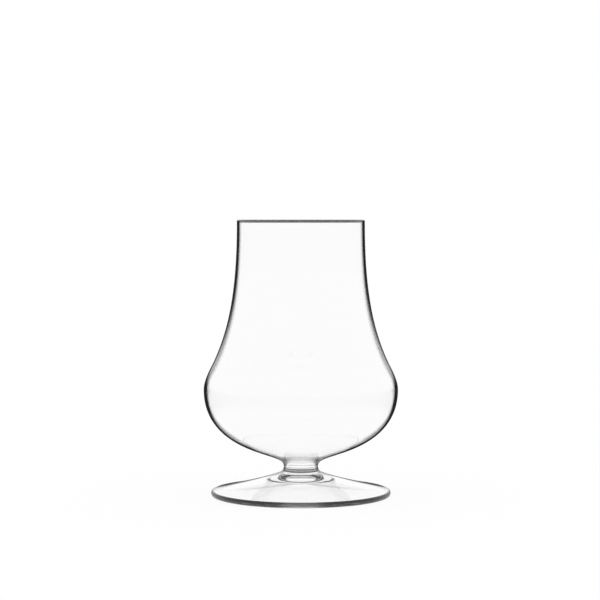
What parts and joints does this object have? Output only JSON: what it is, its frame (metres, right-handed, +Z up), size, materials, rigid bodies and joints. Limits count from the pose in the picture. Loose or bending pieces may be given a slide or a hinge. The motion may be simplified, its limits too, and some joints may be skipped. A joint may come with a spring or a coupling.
{
  "type": "rum glass",
  "caption": "Clear tulip-shaped tasting glass with a wide belly, a drawn-in mouth, a short waisted stem and a broad sloping foot, for serving aged spirits.",
  "frame": {"origin": "centre of the foot's standing face, on the axis", "axes": "+Z up along the axis of revolution, from the foot to the lip; X and Y are any two level directions"},
  "size_m": [0.0742, 0.0742, 0.1055],
  "materials": {
    "blown_glass": "clear colourless glass, blown and fire polished",
    "pressed_glass": "clear colourless glass, pressed and fire polished"
  },
  "bodies": {
    "root": {"bowl": "blown_glass", "stem": "blown_glass", "foot": "pressed_glass"}
  },
  "joints": []
}
